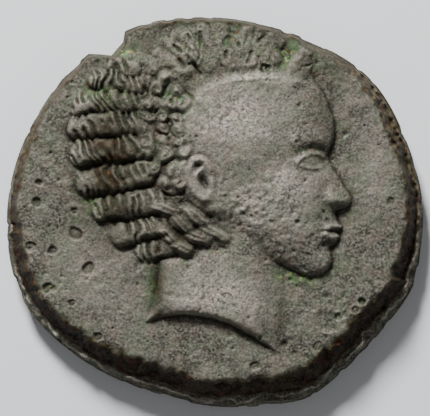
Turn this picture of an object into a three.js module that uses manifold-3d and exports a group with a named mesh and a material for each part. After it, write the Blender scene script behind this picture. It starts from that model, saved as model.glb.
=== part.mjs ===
// A struck bronze coin: a thick, uneven flan with a head in relief on the obverse and a
// plain, worn elephant on the reverse.
// Millimetres. +Z comes up out of the obverse, +Y runs to the top of the head and +X is
// the way the head looks. The origin is on the plane that the coin lies on, under the
// middle of its outline.

import * as THREE from 'three';
import Module from 'manifold-3d';

const wasm = await Module();
wasm.setup();

// Driving dimensions
const coinWidth = 19.0; // along X
const coinHeight = 17.8; // along Y
const fieldLevel = 2.35; // obverse field above the plane the coin lies on
const wornTop = 0.99; // highest relief over the field, rubbed flat above this
const reverseDepth = 0.28; // reverse field under its rim and under the worn flank

// Edge of the flan, as heights above the plane the coin lies on
const footInset = 0.5; // where the lower edge meets the plane
const chamferInset = 0.15;
const chamferLevel = 0.25;
const bellyLevel = 1.05; // the widest line of the flan
const ledgeLevel = 1.35; // inner side of the worn outer ledge
const slopeOvershoot = 1.5; // the slope is carried on this far and the struck face cuts it
const clearLevel = 4.0; // above all relief
const clearDepth = -1.0; // below the reverse

// Outline of the flan: degrees from +X, radius
const flanStations = [
  [0, 9.52], [20, 9.34], [40, 9.36], [60, 8.99], [75, 8.86], [95, 8.96], [113, 9.24],
  [133, 9.3], [150, 9.29], [165, 9.41], [183, 9.58], [205, 9.69], [225, 9.18], [250, 8.74],
  [270, 8.9], [285, 9.16], [296, 9.48], [310, 9.32], [325, 9.35], [340, 9.67], [350, 9.55],
];
// Chip broken out of the edge: degrees, depth
const chipStations = [[116.6, 0], [118.6, 0.42], [123.6, 0.68], [128.8, 0]];
// Widths of the outer ledge and of the slope between it and the field: degrees, width
const ledgeStations = [[0, 0.34], [40, 0.24], [65, 0.15], [90, 0.14], [120, 0.14], [150, 0.18],
  [180, 0.2], [225, 0.36], [270, 0.52], [315, 0.4]];
const slopeStations = [[0, 0.5], [40, 0.56], [65, 0.34], [90, 0.28], [120, 0.28], [150, 0.36],
  [180, 0.46], [225, 0.8], [270, 0.8], [315, 0.9]];
const outlineStep = 3; // degrees between two points of the outline

// Net of the struck faces
const netHalf = 9.9; // half the side of the square net
const netHalvings = 7; // the finest cell is the side over two to this power
const obverseTolerance = 0.04;
const reverseTolerance = 0.05;
const formBlend = 0.06; // how softly two forms run into each other
const topBlend = 0.1; // how softly the relief runs into its worn top

// Skull, a half ellipsoid behind the profile
const skull = { x: 0.45, y: 3.5, a: 4.85, b: 4.65 };
const skullArc = { from: 207, to: 33, step: -14.5 };
// Height of the head: a rounded edge, and a swell that is highest over the temple
const headForm = { edge: 0.44, edgeWidth: 0.7, edgeStart: 0.06, swell: 0.48, swellWidth: 1.3,
  x: 1.4, y: 2.2, a: 5.6, b: 6.0 };

// Profile from the top of the forehead down to the nape, on even thirds:
// brow at 3.1, base of the nose at 0.05, chin at -2.9
const profile = [
  [4.97, 5.35], [5.28, 4.5], [5.4, 3.75], [5.36, 3.15],
  [5.12, 2.6], [5.38, 2.0], [5.8, 1.3], [6.16, 0.72], [6.14, 0.36], [5.84, 0.16],
  [5.5, 0.04], [5.5, -0.26], [5.66, -0.5], [5.8, -0.7], [5.56, -0.88], [5.7, -1.1], [5.54, -1.4],
  [5.24, -1.66], [5.3, -2.02], [5.26, -2.4], [4.98, -2.74], [4.5, -2.88],
  [3.8, -2.76], [2.9, -2.42], [2.0, -1.95], [1.2, -1.4], [0.3, -0.9], [-0.8, -0.8], [-2.0, -1.2],
];

// Features of the face; rise is negative where the metal is sunk
const faceRidges = {
  brow: { line: [[5.2, 3.12], [4.5, 3.32], [3.6, 3.22]], width: 0.3, rise: 0.1 },
  upperLid: { line: [[3.66, 2.26], [3.95, 2.5], [4.3, 2.66], [4.66, 2.66], [4.92, 2.52]],
    width: 0.1, rise: 0.12 },
  lowerLid: { line: [[3.72, 2.2], [4.05, 2.06], [4.45, 2.0], [4.8, 2.08]], width: 0.09, rise: 0.06 },
  nostrilFold: { line: [[5.0, 1.15], [4.88, 0.6], [4.9, 0.1], [4.72, -0.5]], width: 0.26, rise: -0.09 },
  upperLip: { line: [[5.02, -0.74], [5.35, -0.64], [5.68, -0.66]], width: 0.14, rise: 0.12 },
  lowerLip: { line: [[5.02, -1], [5.35, -1.12], [5.58, -1.12]], width: 0.15, rise: 0.13 },
  mouth: { line: [[4.85, -0.86], [5.2, -0.87], [5.62, -0.88]], width: 0.06, rise: -0.13 },
  underLip: { line: [[4.75, -1.72], [5.2, -1.62]], width: 0.18, rise: -0.07 },
};
const faceMounds = {
  socket: { x: 4.5, y: 2.42, a: 0.62, b: 0.5, turn: -8, rise: -0.2 },
  innerCorner: { x: 5, y: 2.5, a: 0.3, b: 0.3, turn: 0, rise: -0.06 },
  eyeball: { x: 4.42, y: 2.34, a: 0.36, b: 0.24, turn: 0, rise: 0.2 },
  cheekbone: { x: 3.3, y: 1.15, a: 1, b: 0.75, turn: -20, rise: 0.1 },
  cheekHollow: { x: 3.6, y: -0.6, a: 0.9, b: 0.9, turn: 0, rise: -0.06 },
  noseTip: { x: 5.32, y: 0.52, a: 0.34, b: 0.3, turn: 0, rise: 0.12 },
  nostril: { x: 5.62, y: 0.25, a: 0.14, b: 0.08, turn: -15, rise: -0.12 },
  chin: { x: 4.9, y: -2.2, a: 0.45, b: 0.45, turn: 0, rise: 0.06 },
};
const featureInset = 0.25; // features fade out this close to the profile

// Neck: nape, the hollow cut below it, and the throat
const neckOutline = [
  [-2.2, 0], [-2.5, -1.6], [-2.62, -3], [-2.9, -4.3], [-3.15, -4.98],
  [-2.3, -4.74], [-1.1, -4.72], [0.1, -4.92], [1.2, -5.36], [2.1, -5.88], [2.92, -6.36],
  [2.98, -5.4], [3.05, -4.3], [3.3, -3.3], [3.7, -2.2], [2, 0],
];

// A column that stands up at the nape and runs out low at the throat
const neckForm = { edge: 0.1, rise: 0.48, axisX: -0.3, halfWidth: 3.4, edgeWidth: 0.35,
  throatX: 3.4, throatWidth: 1.6, throatShare: 0.25 };
const neckRidges = {
  muscle: { line: [[-1, -1.2], [0.3, -2.9], [1.9, -5.4]], width: 0.45, rise: 0.07 },
  hollow: { line: [[0.2, -2], [1.4, -3.6], [2.5, -5.4]], width: 0.35, rise: -0.05 },
};

// Hairline from the forehead over the temple, down behind the ear, and round the crown
const hairOutline = [
  [5.6, 5.1], [4.9, 5.55], [3.6, 6], [2.2, 6.12], [0.6, 5.9], [-0.7, 5.25], [-1.4, 4.2],
  [-1.5, 2.6], [-1.4, 1.4], [-0.7, 0.25], [0.3, -0.4], [-0.8, -2.1], [-2.6, -2.3],
  [-5, -1], [-6, 4], [-3, 8.6], [2, 9], [6.4, 7.5],
];
const hairDrop = 0.13; // the crown lies this much lower than the temple
const hairDropWidth = 0.22;

// Twisted locks down the back of the head: root, tip, radius
const backLocks = [
  [-3.7, 6.42, -4.75, 6.7, 0.34], [-3.6, 5.6, -5.4, 6.0, 0.44], [-3.7, 4.86, -6.1, 4.78, 0.46],
  [-3.6, 3.9, -6.25, 3.78, 0.46], [-2.9, 2.86, -6.05, 2.52, 0.48],
  [-3.1, 1.55, -5.85, 1.08, 0.5], [-2.6, 0.45, -5.05, -0.12, 0.48],
  [-2.2, -0.62, -4.2, -1.2, 0.46], [-1.85, -1.65, -3.3, -1.95, 0.36],
];
// Beaded locks at the nape: root, tip, radius
const napeLocks = [
  [-2.75, 0.5, -0.3, -1.45, 0.42], [-1.35, 0.2, 0.4, -1.25, 0.34],
  [-2.5, -0.8, -1.2, -1.9, 0.38],
];
// Heights of a lock's base over the field at its root and tip, and how round it is
const backLock = { root: 0.3, tip: 0.06, flatness: 0.66 };
const napeLock = { root: 0.5, tip: 0.46, flatness: 0.85 };

// Worn locks of the crown, in a fan from the back to the forehead
const crown = { count: 13, first: 150, step: -9.6, inner: 0.66, outer: 1.03, turn: 6,
  radius: 0.42, flatness: 0.4, root: 0.46, tip: 0.06 };
// Short curls between the hairline and the back locks, in rows round the skull
const curlRows = [
  { share: 0.47, radius: 0.26, first: 222, step: -15.5, count: 6, lift: 0.54 },
  { share: 0.61, radius: 0.28, first: 228, step: -12.8, count: 8, lift: 0.48 },
  { share: 0.75, radius: 0.3, first: 220, step: -10.4, count: 9, lift: 0.4 },
];
const curlHalf = 0.2; // half the length of a short curl's axis
const curlTurns = [-35, 42]; // degrees that curls lean by, in turn
const curlFlatness = 0.9;

// Ear, above the jaw; its folds are placed from its own middle
const ear = { x: -0.66, y: 1.42, turn: 10, a: 0.66, b: 1.12, lift: 0.72, pad: 0.06,
  coverFrom: 1.3, coverWidth: 0.35 };
const earRidges = {
  outerFold: { line: [[0.5, 0.42], [0.3, 0.84], [-0.14, 0.92], [-0.46, 0.55], [-0.52, 0],
    [-0.36, -0.5], [-0.06, -0.85]], width: 0.17, rise: 0.15 },
  innerFold: { line: [[0.12, 0.5], [-0.12, 0.25], [-0.16, -0.2], [0.02, -0.5]], width: 0.12, rise: 0.09 },
};
const earMounds = {
  bowl: { x: 0.16, y: -0.08, a: 0.2, b: 0.34, turn: 0, rise: -0.2 },
  groove: { x: -0.02, y: 0.62, a: 0.2, b: 0.12, turn: 0, rise: -0.07 },
  lobe: { x: 0.14, y: -0.86, a: 0.28, b: 0.24, turn: 0, rise: 0.12 },
  flap: { x: 0.46, y: -0.14, a: 0.15, b: 0.22, turn: 0, rise: 0.12 },
};

// Reverse: an elephant that walks to the right, as seen from that side, on a ground line
const elephant = {
  body: { x: -0.7, y: 0.7, a: 3.5, b: 2.5, rise: 0.4 },
  head: { x: 2.9, y: 1.9, a: 1.75, b: 1.7, rise: 0.38 },
  ear: { x: 1.75, y: 1.5, a: 1.05, b: 1.575, groove: 0.12, grooveShare: 0.095 },
  legs: [
    { line: [[-3.0, -0.2], [-3.1, -3.6]], radius: 0.8, rise: 0.26 },
    { line: [[-1.5, -0.6], [-1.35, -3.6]], radius: 0.8, rise: 0.26 },
    { line: [[0.7, -0.6], [0.6, -3.6]], radius: 0.8, rise: 0.26 },
    { line: [[2.0, 0.2], [2.25, -3.6]], radius: 0.8, rise: 0.26 },
  ],
  trunk: { line: [[3.9, 1.5], [4.75, 0.2], [4.85, -1.3], [4.5, -2.5], [5.1, -3.1]],
    radius: 0.55, rise: 0.26 },
  tail: { line: [[-3.9, 1.6], [-4.6, 0.4], [-4.6, -1.2]], radius: 0.22, rise: 0.16 },
  tusk: { line: [[3.7, 0.6], [5.9, 0.2]], radius: 0.24, rise: 0.24 },
  ground: { line: [[-4.7, -4.6], [4.7, -4.6]], radius: 0.2, rise: 0.16 },
};
const reverseRim = { from: 2.1, to: 1.4 }; // insets where the rim starts to rise and is full

// Helpers

const radians = THREE.MathUtils.degToRad;
const clamp = THREE.MathUtils.clamp;

function ease(share) {
  const t = clamp(share, 0, 1);
  return t * t * (3 - 2 * t);
}

function quarterRound(share) {
  return Math.sqrt(1 - (1 - clamp(share, 0, 1)) ** 2);
}

function blendHighest(a, b, blend) {
  const t = clamp(0.5 + (0.5 * (a - b)) / blend, 0, 1);
  return b + (a - b) * t + blend * t * (1 - t);
}

function blendLowest(a, b, blend) {
  return -blendHighest(-a, -b, blend);
}

// Value round the coin from stations of [degrees, value], as a smooth closed curve
function around(stations, degrees) {
  const count = stations.length;
  const turn = ((degrees % 360) + 360) % 360;
  const at = (i) => {
    const lap = Math.floor(i / count);
    const [angle, value] = stations[i - lap * count];
    return [angle + 360 * lap, value];
  };
  let i = 0;
  while (i < count - 1 && stations[i + 1][0] <= turn) i += 1;
  const [a0, v0] = at(i - 1);
  const [a1, v1] = at(i);
  const [a2, v2] = at(i + 1);
  const [a3, v3] = at(i + 2);
  const t = (turn - a1) / (a2 - a1);
  const slope1 = ((v2 - v0) / (a2 - a0)) * (a2 - a1);
  const slope2 = ((v3 - v1) / (a3 - a1)) * (a2 - a1);
  const t2 = t * t;
  const t3 = t2 * t;
  return (2 * t3 - 3 * t2 + 1) * v1 + (t3 - 2 * t2 + t) * slope1
    + (3 * t2 - 2 * t3) * v2 + (t3 - t2) * slope2;
}

// Value between stations in straight steps, nothing outside them
function between(stations, degrees) {
  const last = stations.length - 1;
  if (degrees <= stations[0][0] || degrees >= stations[last][0]) return 0;
  const i = stations.findIndex(([angle]) => angle > degrees);
  const [a0, v0] = stations[i - 1];
  const [a1, v1] = stations[i];
  return v0 + ((v1 - v0) * (degrees - a0)) / (a1 - a0);
}

// Smooth closed curve through a few points, as a list of points
function closedCurve(points, perPoint = 5) {
  const curve = new THREE.CatmullRomCurve3(points.map(([x, y]) => new THREE.Vector3(x, y, 0)), true);
  curve.curveType = 'catmullrom';
  curve.tension = 0.5;
  return curve.getPoints(points.length * perPoint).slice(0, -1).map((p) => [p.x, p.y]);
}

// Distance to a straight stretch, and how far along it the nearest point lies
function toStretch(x, y, ax, ay, bx, by) {
  const dx = bx - ax;
  const dy = by - ay;
  const along = clamp(((x - ax) * dx + (y - ay) * dy) / (dx * dx + dy * dy), 0, 1);
  return { distance: Math.hypot(x - ax - along * dx, y - ay - along * dy), along };
}

function toLine(x, y, points) {
  let nearest = Infinity;
  for (let i = 1; i < points.length; i += 1) {
    nearest = Math.min(nearest, toStretch(x, y, ...points[i - 1], ...points[i]).distance);
  }
  return nearest;
}

// Distance inside a closed outline, negative outside it
function insideBy(x, y, outline) {
  let nearest = Infinity;
  let inside = false;
  outline.forEach(([ax, ay], i) => {
    const [bx, by] = outline[(i + 1) % outline.length];
    nearest = Math.min(nearest, toStretch(x, y, ax, ay, bx, by).distance);
    if ((ay > y) !== (by > y) && x < ax + ((y - ay) * (bx - ax)) / (by - ay)) inside = !inside;
  });
  return inside ? nearest : -nearest;
}

// A point seen from another middle and turned by some degrees
function seenFrom(x, y, place) {
  const c = Math.cos(radians(place.turn));
  const s = Math.sin(radians(place.turn));
  return [(x - place.x) * c + (y - place.y) * s, (y - place.y) * c - (x - place.x) * s];
}

function mound(x, y, place) {
  const [u, v] = seenFrom(x, y, place);
  return place.rise * Math.exp(-((u / place.a) ** 2) - (v / place.b) ** 2);
}

function ridge(x, y, { line, width, rise }) {
  return rise * Math.exp(-((toLine(x, y, line) / width) ** 2));
}

// Sum of named ridges and mounds
function features(x, y, ridges, mounds) {
  let total = 0;
  Object.values(ridges).forEach((feature) => { total += ridge(x, y, feature); });
  Object.values(mounds).forEach((feature) => { total += mound(x, y, feature); });
  return total;
}

// Round-ended, worn lock, falling away below its own base outside
function lock(x, y, [ax, ay, bx, by, radius], { flatness, root, tip }) {
  const { distance, along } = toStretch(x, y, ax, ay, bx, by);
  const round = 1 - (distance / radius) ** 2;
  return round * radius * flatness + root + (tip - root) * along;
}

// Outline of the flan

function rawRadius(degrees) {
  return around(flanStations, degrees) - between(chipStations, degrees);
}

const outlineAngles = [];
for (let degrees = 0; degrees < 360; degrees += outlineStep) outlineAngles.push(degrees);
chipStations.forEach(([degrees]) => outlineAngles.push(degrees));
outlineAngles.sort((a, b) => a - b);

const rawOutline = outlineAngles.map((degrees) => [
  rawRadius(degrees) * Math.cos(radians(degrees)),
  rawRadius(degrees) * Math.sin(radians(degrees)),
]);

// Scale and shift that give the outline its width and height about the origin
function fitAlong(axis, size) {
  const values = rawOutline.map((point) => point[axis]);
  const low = Math.min(...values);
  const high = Math.max(...values);
  return { middle: (low + high) / 2, scale: size / (high - low) };
}
const fitX = fitAlong(0, coinWidth);
const fitY = fitAlong(1, coinHeight);

function edgePoint(degrees, inset, level) {
  const radius = rawRadius(degrees) - inset;
  const x = (radius * Math.cos(radians(degrees)) - fitX.middle) * fitX.scale;
  const y = (radius * Math.sin(radians(degrees)) - fitY.middle) * fitY.scale;
  return [x, y, level];
}

// Distance from a point in to the outline, along its own radius
function insetAt(x, y) {
  const rawX = x / fitX.scale + fitX.middle;
  const rawY = y / fitY.scale + fitY.middle;
  const degrees = THREE.MathUtils.radToDeg(Math.atan2(rawY, rawX));
  return rawRadius(degrees < 0 ? degrees + 360 : degrees) - Math.hypot(rawX, rawY);
}

// Obverse relief, as height over the field

const headOutline = closedCurve([...profile, ...skullPoints()]);
const neckCurve = closedCurve(neckOutline);
const hairCurve = closedCurve(hairOutline);

function skullPoints() {
  const points = [];
  for (let degrees = skullArc.from; degrees > skullArc.to; degrees += skullArc.step) {
    points.push(onSkull(degrees, 1));
  }
  return points;
}

function onSkull(degrees, share) {
  return [skull.x + skull.a * share * Math.cos(radians(degrees)),
    skull.y + skull.b * share * Math.sin(radians(degrees))];
}

function crownLocks() {
  const locks = [];
  for (let i = 0; i < crown.count; i += 1) {
    const degrees = crown.first + crown.step * i;
    locks.push([...onSkull(degrees, crown.inner), ...onSkull(degrees + crown.turn, crown.outer),
      crown.radius]);
  }
  return locks;
}

function shortCurls() {
  const curls = [];
  curlRows.forEach((row, rowIndex) => {
    for (let i = 0; i < row.count; i += 1) {
      const degrees = row.first + row.step * i;
      const [x, y] = onSkull(degrees, row.share);
      const heading = radians(degrees + curlTurns[(i + rowIndex) % 2]);
      const dx = curlHalf * Math.cos(heading);
      const dy = curlHalf * Math.sin(heading);
      const heights = { flatness: curlFlatness, root: row.lift, tip: row.lift };
      curls.push({ axis: [x - dx, y - dy, x + dx, y + dy, row.radius], heights });
    }
  });
  return curls;
}

const crownFan = crownLocks();
const curls = shortCurls();

function neckRelief(x, y) {
  const inside = insideBy(x, y, neckCurve);
  if (inside <= 0) return 0;
  const across = (x - neckForm.axisX) / neckForm.halfWidth;
  const column = neckForm.edge + neckForm.rise * Math.sqrt(clamp(1 - across * across, 0, 1));
  const fromThroat = ease((neckForm.throatX - x) / neckForm.throatWidth);
  const throat = neckForm.throatShare + (1 - neckForm.throatShare) * fromThroat;
  const depth = inside / neckForm.edgeWidth;
  return column * throat * quarterRound(depth) + features(x, y, neckRidges, {}) * clamp(depth, 0, 1);
}

function headRelief(x, y) {
  const inside = insideBy(x, y, headOutline);
  if (inside <= 0) return 0;
  const { edge, edgeStart, edgeWidth, swell, swellWidth } = headForm;
  const fromMiddle = ((x - headForm.x) / headForm.a) ** 2 + ((y - headForm.y) / headForm.b) ** 2;
  const form = edge * quarterRound(edgeStart + inside / edgeWidth)
    + swell * clamp(1 - fromMiddle, 0, 1) * ease(inside / swellWidth);
  const face = features(x, y, faceRidges, faceMounds);
  const hair = hairDrop * ease(insideBy(x, y, hairCurve) / hairDropWidth);
  return form + (face - hair) * clamp(inside / featureInset, 0, 1);
}

function earRelief(x, y, base) {
  const [u, v] = seenFrom(x, y, ear);
  const share = Math.hypot(u / ear.a, v / ear.b);
  const cover = ease((ear.coverFrom - share) / ear.coverWidth);
  if (cover === 0) return base;
  const pad = ear.pad * (1 - Math.min(share, 1) ** 4);
  return base * (1 - cover) + cover * (ear.lift + pad + features(u, v, earRidges, earMounds));
}

function obverseRelief(x, y) {
  let relief = blendHighest(neckRelief(x, y), headRelief(x, y), formBlend);
  crownFan.forEach((axis) => {
    relief = blendHighest(relief, lock(x, y, axis, crown), formBlend);
  });
  curls.forEach(({ axis, heights }) => {
    relief = blendHighest(relief, lock(x, y, axis, heights), formBlend);
  });
  relief = earRelief(x, y, relief);
  napeLocks.forEach((axis) => {
    relief = blendHighest(relief, lock(x, y, axis, napeLock), formBlend);
  });
  backLocks.forEach((axis) => {
    relief = blendHighest(relief, lock(x, y, axis, backLock), formBlend);
  });
  return blendLowest(Math.max(relief, 0), wornTop, topBlend);
}

// Reverse relief, as height over the reverse field; u runs to the right as seen from below

function dome(u, v, { x, y, a, b, rise }) {
  return rise * Math.sqrt(clamp(1 - ((u - x) / a) ** 2 - ((v - y) / b) ** 2, 0, 1));
}

function bar(u, v, { line, radius, rise }) {
  return rise * quarterRound(1 - toLine(u, v, line) / radius);
}

function reverseRelief(x, y) {
  const u = -x;
  const v = y;
  const { body, head, legs, trunk, tail, tusk, ground } = elephant;
  let relief = dome(u, v, body);
  legs.forEach((leg) => {
    relief = blendHighest(relief, bar(u, v, leg), formBlend);
  });
  relief = blendHighest(relief, dome(u, v, head), formBlend);
  relief = blendHighest(relief, bar(u, v, trunk), formBlend);
  relief = Math.max(relief, bar(u, v, tail), bar(u, v, tusk), bar(u, v, ground));
  const earShare = Math.hypot((u - elephant.ear.x) / elephant.ear.a, (v - elephant.ear.y) / elephant.ear.b);
  relief -= elephant.ear.groove * Math.exp(-(((earShare - 1) / elephant.ear.grooveShare) ** 2));
  const rim = reverseDepth * ease((reverseRim.from - insetAt(x, y)) / (reverseRim.from - reverseRim.to));
  return clamp(Math.max(relief, rim), 0, reverseDepth);
}

// Solids

// Calls back with every triangle that halving a triangle a number of times gives;
// a and b are the ends of its long side and c is its right-angled corner
function halve(ax, ay, bx, by, cx, cy, times, visit) {
  if (times === 0) {
    visit(ax, ay, bx, by, cx, cy);
    return;
  }
  const mx = (ax + bx) / 2;
  const my = (ay + by) / 2;
  halve(cx, cy, ax, ay, mx, my, times - 1, visit);
  halve(bx, by, cx, cy, mx, my, times - 1, visit);
}

// Triangles of a square net that are only as fine as the surface needs
function adaptiveNet(levelAt, tolerance) {
  const cells = 2 ** netHalvings;
  const row = cells + 1;
  const spacing = (2 * netHalf) / cells;
  const levels = new Float64Array(row * row);
  for (let j = 0; j < row; j += 1) {
    for (let i = 0; i < row; i += 1) {
      levels[j * row + i] = levelAt(i * spacing - netHalf, j * spacing - netHalf);
    }
  }
  const halves = [[0, 0, cells, cells, cells, 0], [cells, cells, 0, 0, 0, cells]];
  const deepest = 2 * netHalvings - 1;
  const misses = new Float64Array(row * row);
  const middle = (ax, ay, bx, by) => ((ay + by) / 2) * row + (ax + bx) / 2;
  for (let times = deepest; times >= 0; times -= 1) {
    halves.forEach((half) => halve(...half, times, (ax, ay, bx, by, cx, cy) => {
      const m = middle(ax, ay, bx, by);
      const own = Math.abs(levels[m] - (levels[ay * row + ax] + levels[by * row + bx]) / 2);
      const finer = times < deepest
        ? Math.max(misses[middle(ax, ay, cx, cy)], misses[middle(bx, by, cx, cy)]) : 0;
      misses[m] = Math.max(misses[m], own, finer);
    }));
  }
  const triangles = [];
  function keep(ax, ay, bx, by, cx, cy, depth) {
    if (depth <= deepest && misses[middle(ax, ay, bx, by)] > tolerance) {
      const mx = (ax + bx) / 2;
      const my = (ay + by) / 2;
      keep(cx, cy, ax, ay, mx, my, depth + 1);
      keep(bx, by, cx, cy, mx, my, depth + 1);
      return;
    }
    triangles.push([ay * row + ax, by * row + bx, cy * row + cx]);
  }
  halves.forEach((half) => keep(...half, 0));
  const place = (k) => [(k % row) * spacing - netHalf, Math.floor(k / row) * spacing - netHalf, levels[k]];
  return { triangles, place };
}

function makeSolid(points, triangles) {
  const mesh = new wasm.Mesh({
    numProp: 3,
    vertProperties: new Float32Array(points.flat()),
    triVerts: new Uint32Array(triangles.flat()),
  });
  return new wasm.Manifold(mesh);
}

// Block with the struck surface on one side and a flat back at backLevel on the other
function struckBlock(levelAt, tolerance, backLevel) {
  const { triangles, place } = adaptiveNet(levelAt, tolerance);
  const facesUp = backLevel < levelAt(netHalf, netHalf);
  const points = [];
  const numbers = new Map();
  const number = (key, point) => {
    if (!numbers.has(key)) {
      numbers.set(key, points.length);
      points.push(point);
    }
    return numbers.get(key);
  };
  const front = (k) => number(`front ${k}`, place(k));
  const back = (k) => number(`back ${k}`, [place(k)[0], place(k)[1], backLevel]);
  const signedArea = ([a, b, c]) => {
    const [pa, pb, pc] = [place(a), place(b), place(c)];
    return (pb[0] - pa[0]) * (pc[1] - pa[1]) - (pc[0] - pa[0]) * (pb[1] - pa[1]);
  };
  const surface = triangles.map((t) => ((signedArea(t) > 0) === facesUp ? t : [t[0], t[2], t[1]]));
  const sides = new Map();
  surface.forEach((t) => t.forEach((k, i) => {
    const next = t[(i + 1) % 3];
    if (!sides.delete(`${next} ${k}`)) sides.set(`${k} ${next}`, [k, next]);
  }));
  const faces = surface.map((t) => t.map(front));
  const centre = number('centre', [0, 0, backLevel]);
  sides.forEach(([p, q]) => {
    faces.push([front(q), front(p), back(p)], [front(q), back(p), back(q)], [back(q), back(p), centre]);
  });
  return makeSolid(points, faces);
}

function slopeEnd(degrees) {
  return around(ledgeStations, degrees) + around(slopeStations, degrees) * slopeOvershoot;
}

// Flan before the struck faces are cut: rings round the edge, capped above and below
function flanBlank() {
  const rings = [
    () => [footInset, clearDepth],
    () => [footInset, 0],
    () => [chamferInset, chamferLevel],
    () => [0, bellyLevel],
    (degrees) => [around(ledgeStations, degrees), ledgeLevel],
    (degrees) => [slopeEnd(degrees), ledgeLevel + (fieldLevel - ledgeLevel) * slopeOvershoot],
    (degrees) => [slopeEnd(degrees), clearLevel],
  ];
  const count = outlineAngles.length;
  const points = [];
  rings.forEach((ring) => {
    outlineAngles.forEach((degrees) => points.push(edgePoint(degrees, ...ring(degrees))));
  });
  const faces = [];
  for (let ring = 0; ring < rings.length - 1; ring += 1) {
    for (let i = 0; i < count; i += 1) {
      const next = (i + 1) % count;
      const a = ring * count + i;
      const b = ring * count + next;
      faces.push([a, b, b + count], [a, b + count, a + count]);
    }
  }
  const low = points.push([0, 0, clearDepth]) - 1;
  const high = points.push([0, 0, clearLevel]) - 1;
  const lastRing = (rings.length - 1) * count;
  for (let i = 0; i < count; i += 1) {
    const next = (i + 1) % count;
    faces.push([low, next, i], [high, lastRing + i, lastRing + next]);
  }
  return makeSolid(points, faces);
}

function coinGeometry() {
  const obverseLevel = (x, y) => fieldLevel + obverseRelief(x, y);
  const reverseLevel = (x, y) => reverseDepth - reverseRelief(x, y);
  const obverse = struckBlock(obverseLevel, obverseTolerance, clearDepth * 2);
  const reverse = struckBlock(reverseLevel, reverseTolerance, clearLevel * 2);
  const solid = flanBlank().intersect(obverse).intersect(reverse).getMesh();
  const geometry = new THREE.BufferGeometry();
  geometry.setAttribute('position', new THREE.BufferAttribute(solid.vertProperties, solid.numProp));
  geometry.setIndex(new THREE.BufferAttribute(solid.triVerts, 1));
  geometry.computeVertexNormals();
  return geometry;
}

// Bronze under a grey-green patina
const patina = new THREE.MeshStandardMaterial({
  color: '#6f6d62', roughness: 0.55, metalness: 0.35, flatShading: true,
});

const coin = new THREE.Mesh(coinGeometry(), patina);
coin.name = 'coin';

const group = new THREE.Group();
group.add(coin);

export default group;
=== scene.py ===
import math

import bpy
import numpy as np
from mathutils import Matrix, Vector


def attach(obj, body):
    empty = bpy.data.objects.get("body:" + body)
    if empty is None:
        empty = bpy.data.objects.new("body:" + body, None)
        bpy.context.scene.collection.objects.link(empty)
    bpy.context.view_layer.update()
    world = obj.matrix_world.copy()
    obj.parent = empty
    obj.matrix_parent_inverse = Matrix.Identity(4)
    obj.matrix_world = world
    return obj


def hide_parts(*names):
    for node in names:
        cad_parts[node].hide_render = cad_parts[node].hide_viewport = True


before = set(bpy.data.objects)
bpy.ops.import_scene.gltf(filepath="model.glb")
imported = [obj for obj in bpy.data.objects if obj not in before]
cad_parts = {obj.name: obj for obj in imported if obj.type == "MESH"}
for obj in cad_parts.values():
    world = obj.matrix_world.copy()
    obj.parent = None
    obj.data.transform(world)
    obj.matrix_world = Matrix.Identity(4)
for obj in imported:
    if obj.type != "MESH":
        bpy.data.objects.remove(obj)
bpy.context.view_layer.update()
mm = 0.001


# Camera: straight above the coin, which lies with its head up

camera = {
    "width": 19.5,  # mm of the coin's level that the picture is wide
    "middle": (0.0, 0.19),
    "level": 2.4,
    "lens": 300.0,
    "sensor": 36.0,
    "clip": (0.01, 10.0),  # metres
}


def makeCamera(c):
    data = bpy.data.cameras.new("camera")
    data.lens = c["lens"]
    data.sensor_width = c["sensor"]
    data.clip_start, data.clip_end = c["clip"]
    distance = c["width"] * c["lens"] / c["sensor"]
    cam = bpy.data.objects.new("camera", data)
    cam.location = (c["middle"][0] * mm, c["middle"][1] * mm, (c["level"] + distance) * mm)
    bpy.context.scene.collection.objects.link(cam)
    bpy.context.scene.camera = cam


makeCamera(camera)
print("camera set")


# Height fields, in millimetres, worked on whole arrays of points

def ease(share):
    t = np.clip(share, 0, 1)
    return t * t * (3 - 2 * t)


def quarterRound(share):
    return np.sqrt(1 - (1 - np.clip(share, 0, 1)) ** 2)


def blendHighest(a, b, blend):
    t = np.clip(0.5 + 0.5 * (a - b) / blend, 0, 1)
    return b + (a - b) * t + blend * t * (1 - t)


def blendLowest(a, b, blend):
    return -blendHighest(-a, -b, blend)


# smooth closed curve of values through (degrees, value) stations
def around(stations, degrees):
    angles = np.array([s[0] for s in stations], float)
    values = np.array([s[1] for s in stations], float)
    angles = np.concatenate([angles[-2:] - 360, angles, angles[:2] + 360])
    values = np.concatenate([values[-2:], values, values[:2]])
    turn = np.mod(degrees, 360)
    i = np.clip(np.searchsorted(angles, turn, side="right") - 1, 1, len(angles) - 3)
    a0, a1, a2, a3 = angles[i - 1], angles[i], angles[i + 1], angles[i + 2]
    v0, v1, v2, v3 = values[i - 1], values[i], values[i + 1], values[i + 2]
    t = (turn - a1) / (a2 - a1)
    slope1 = (v2 - v0) / (a2 - a0) * (a2 - a1)
    slope2 = (v3 - v1) / (a3 - a1) * (a2 - a1)
    return ((2 * t**3 - 3 * t**2 + 1) * v1 + (t**3 - 2 * t**2 + t) * slope1
            + (3 * t**2 - 2 * t**3) * v2 + (t**3 - t**2) * slope2)


def closedCurve(points, perPoint=6):
    p = np.array(points, float)
    before, after, beyond = np.roll(p, 1, 0), np.roll(p, -1, 0), np.roll(p, -2, 0)
    t = (np.arange(perPoint) / perPoint)[None, :, None]
    p, before, after, beyond = p[:, None], before[:, None], after[:, None], beyond[:, None]
    curve = 0.5 * (2 * p + (after - before) * t + (2 * before - 5 * p + 4 * after - beyond) * t**2
                   + (3 * p - before - 3 * after + beyond) * t**3)
    return curve.reshape(-1, 2)


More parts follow.
